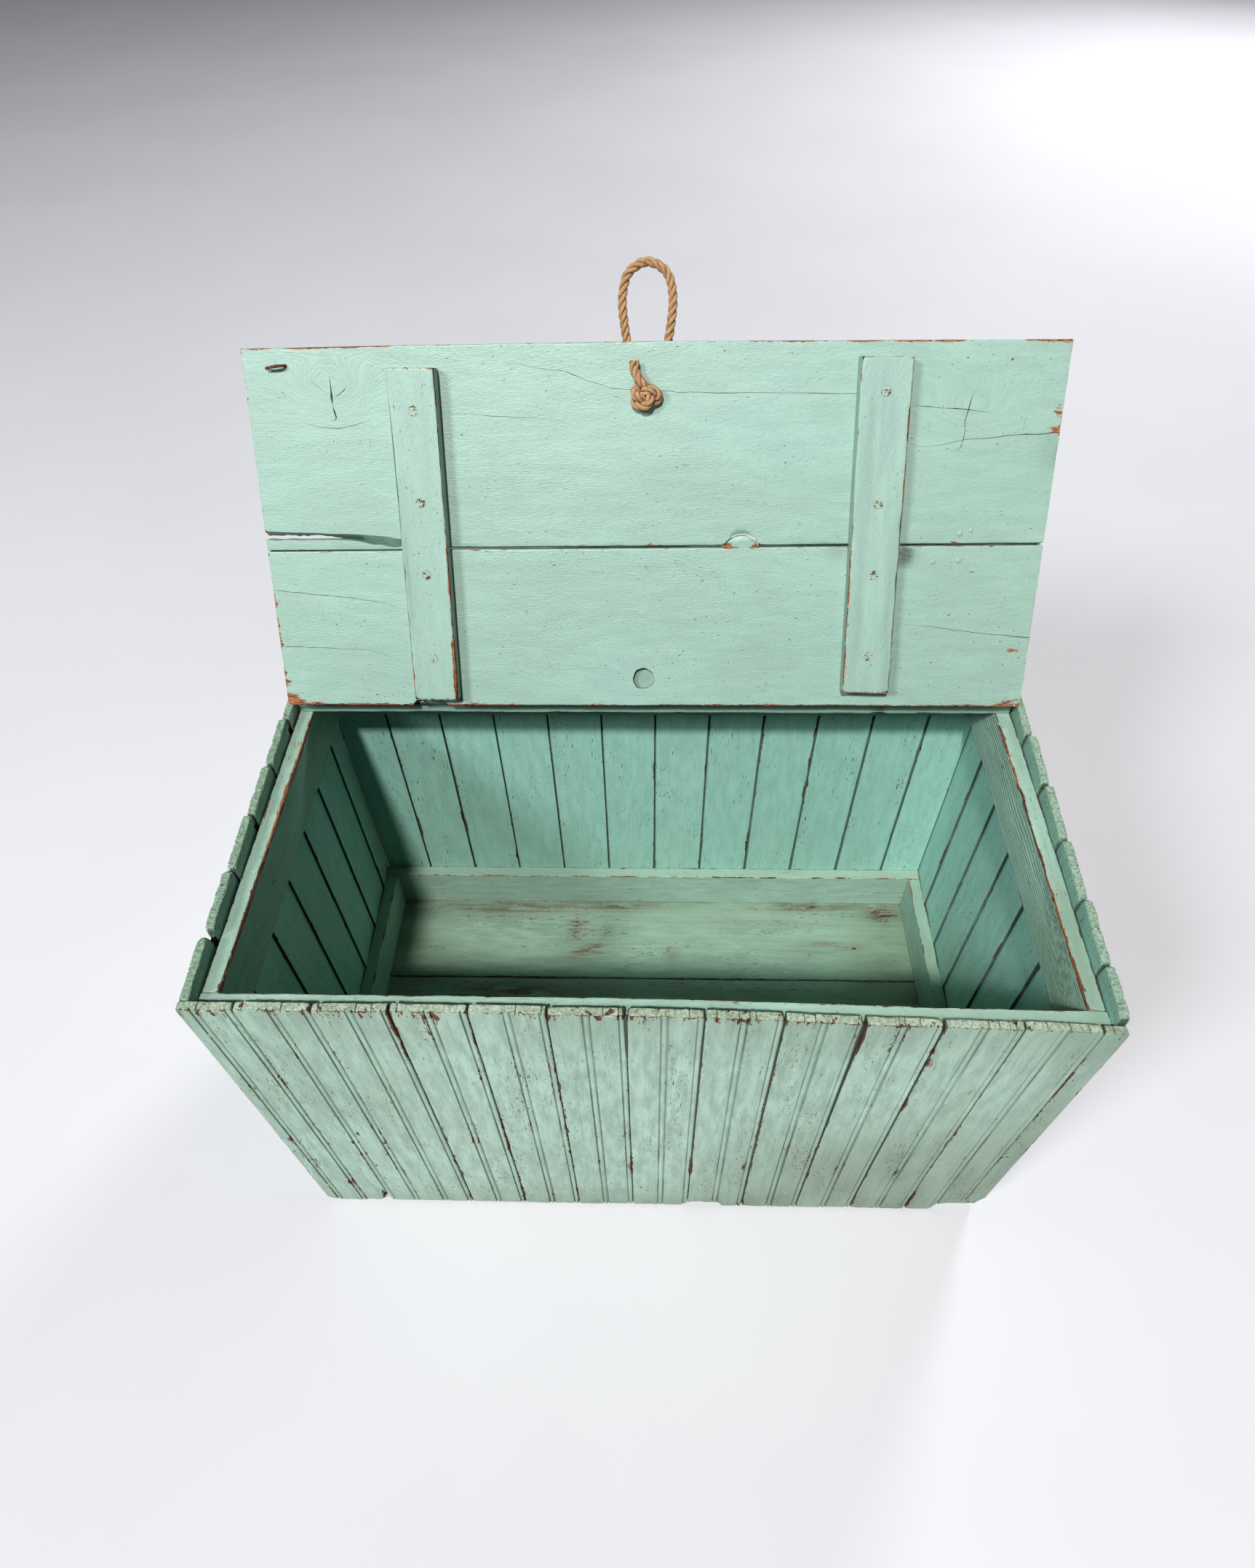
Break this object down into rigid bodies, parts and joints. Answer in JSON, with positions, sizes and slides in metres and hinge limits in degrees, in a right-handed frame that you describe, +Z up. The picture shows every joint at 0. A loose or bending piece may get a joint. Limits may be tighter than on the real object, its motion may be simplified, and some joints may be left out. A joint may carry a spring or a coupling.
{
  "type": "storage bench",
  "caption": "Low beadboard storage chest with a lift-up plank lid that serves as a seat, a fixed plank behind it, cleated battens and a rope loop handle.",
  "frame": {"origin": "the middle of the chest's underside, on the floor", "axes": "+X to the right seen from the front, +Y from the front to the back, +Z up; the lid is stored leaning back, fully open"},
  "size_m": [1.0678, 0.7817, 1.1765],
  "materials": {
    "wall_paint": "aged green paint over wood, chipped to brown wood along joints and end grain",
    "rail_paint": "aged mint paint over wood, brown worn edges",
    "floor_paint": "thin worn green paint over wood with brown scuffs",
    "lid_paint": "satin mint paint over wood, brown worn edges",
    "painted_nails": "painted over, rusting nail heads",
    "hinge_iron": "old iron with worn green paint",
    "screw_iron": "slotted iron heads with worn green paint and rust",
    "rusty_iron": "rust brown",
    "rope": "laid manila fibre"
  },
  "bodies": {
    "case": {"front_board_1": "wall_paint", "front_board_2": "wall_paint", "front_board_3": "wall_paint", "front_board_4": "wall_paint", "front_board_5": "wall_paint", "front_board_6": "wall_paint", "front_board_7": "wall_paint", "front_board_8": "wall_paint", "front_board_9": "wall_paint", "front_board_10": "wall_paint", "front_board_11": "wall_paint", "front_board_12": "wall_paint", "front_board_13": "wall_paint", "left_board_1": "wall_paint", "left_board_2": "wall_paint", "left_board_3": "wall_paint", "left_board_4": "wall_paint", "left_board_5": "wall_paint", "left_board_6": "wall_paint", "left_board_7": "wall_paint", "right_board_1": "wall_paint", "right_board_2": "wall_paint", "right_board_3": "wall_paint", "right_board_4": "wall_paint", "right_board_5": "wall_paint", "right_board_6": "wall_paint", "right_board_7": "wall_paint", "back_boards": "wall_paint", "front_top_rail": "rail_paint", "back_top_rail": "rail_paint", "left_top_rail": "rail_paint", "right_top_rail": "rail_paint", "front_bottom_rail": "rail_paint", "back_bottom_rail": "rail_paint", "left_bottom_rail": "rail_paint", "right_bottom_rail": "rail_paint", "floor_plank_1": "floor_paint", "floor_plank_2": "floor_paint", "floor_plank_3": "floor_paint", "back_plank": "lid_paint", "board_nails": "painted_nails", "left_fixed_leaf": "hinge_iron", "right_fixed_leaf": "hinge_iron", "left_hinge_pin": "hinge_iron", "right_hinge_pin": "hinge_iron", "plank_hinge_screws": "hinge_iron"},
    "lid": {"lid_rear_plank": "lid_paint", "lid_front_plank": "lid_paint", "left_batten": "lid_paint", "right_batten": "lid_paint", "batten_screws": "screw_iron", "left_moving_leaf": "hinge_iron", "right_moving_leaf": "hinge_iron", "lid_hinge_screws": "hinge_iron", "bent_nail": "rusty_iron", "rope_handle": "rope", "rope_knot": "rope"}
  },
  "joints": [
    {"name": "lid_hinge", "type": "hinge", "parent": "case", "child": "lid", "pos_m": [0, 0.187, 0.6792], "axis": [1, 0, 0], "range_deg": [0, 118.7]}
  ]
}
